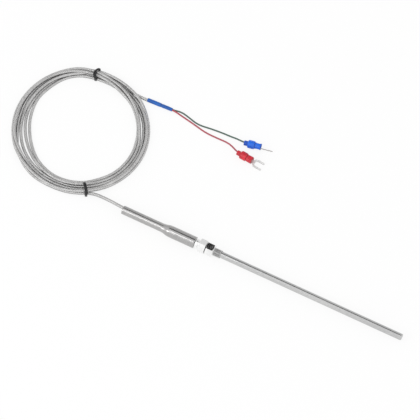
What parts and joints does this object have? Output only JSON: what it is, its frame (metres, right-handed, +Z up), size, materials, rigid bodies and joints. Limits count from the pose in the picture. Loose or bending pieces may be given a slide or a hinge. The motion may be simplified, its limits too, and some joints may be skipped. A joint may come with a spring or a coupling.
{
  "type": "threaded thermocouple probe",
  "caption": "Thermocouple probe with a straight closed sheath, a movable threaded compression fitting, a stepped sleeve and a coiled braided cable ending in fork terminals.",
  "frame": {"origin": "on the probe's axis, at the shoulder where the process thread meets its hexagon", "axes": "+X along the probe's axis towards the closed tip, +Z up from the surface that the probe and its coil lie on"},
  "size_m": [0.3994, 0.121, 0.0126],
  "materials": {
    "sheath_steel": "drawn and polished stainless steel",
    "satin_steel": "satin stainless steel",
    "fitting_steel": "bright turned stainless steel",
    "steel_braid": "fine stainless wire braid",
    "coiled_braid": "coil of fine stainless wire braid over insulated cores",
    "packed_powder": "packed mineral powder",
    "thermo_wire": "drawn thermocouple wire",
    "cement": "cast cement",
    "crimp_brass": "plain crimp barrel",
    "red_insulation": "thin woven and lacquered insulation",
    "green_insulation": "thin woven and lacquered insulation",
    "bare_wire": "bare stranded wire",
    "blue_shrink": "semi-gloss heat-shrink tube",
    "blue_plastic": "moulded vinyl",
    "red_plastic": "moulded vinyl",
    "tinned_metal": "tinned sheet",
    "black_plastic": "plastic-covered wire"
  },
  "bodies": {
    "probe": {"probe_sheath": "sheath_steel", "mineral_core": "packed_powder", "positive_leg": "thermo_wire", "negative_leg": "thermo_wire", "hot_junction": "thermo_wire", "sheath_bush": "satin_steel", "transition_sleeve": "satin_steel", "potting": "cement", "positive_splice": "crimp_brass", "negative_splice": "crimp_brass", "positive_core": "red_insulation", "negative_core": "green_insulation", "cable_lead": "steel_braid", "cable_coil": "coiled_braid", "cable_tail": "steel_braid", "heat_shrink": "blue_shrink", "green_lead": "green_insulation", "red_lead": "red_insulation", "green_conductor": "bare_wire", "red_conductor": "bare_wire", "blue_insulator": "blue_plastic", "blue_fork": "tinned_metal", "red_insulator": "red_plastic", "red_fork": "tinned_metal", "tie_top": "black_plastic", "tie_bottom": "black_plastic"},
    "back_ferrule": {"back_ferrule": "fitting_steel"},
    "compression_nut": {"compression_nut": "fitting_steel"},
    "front_ferrule": {"front_ferrule": "fitting_steel"},
    "fitting_body": {"fitting_body": "fitting_steel"}
  },
  "joints": [
    {"name": "fitting_slide", "type": "slide", "parent": "probe", "child": "back_ferrule", "axis": [1, 0, 0], "range_m": [0, 0.165]},
    {"name": "fitting_spin", "type": "hinge", "parent": "back_ferrule", "child": "compression_nut", "pos_m": [0, 0, 0], "axis": [1, 0, 0], "continuous": true},
    {"name": "ferrule_travel", "type": "slide", "parent": "compression_nut", "child": "front_ferrule", "axis": [1, 0, 0], "range_m": [0, 0.00225]},
    {"name": "body_unscrew", "type": "hinge", "parent": "front_ferrule", "child": "fitting_body", "pos_m": [0, 0, 0], "axis": [1, 0, 0], "range_deg": [0, 1081]}
  ],
  "couplings": [
    {"joint": "body_unscrew", "follows": "ferrule_travel", "rad_per_m": 8377.6}
  ]
}
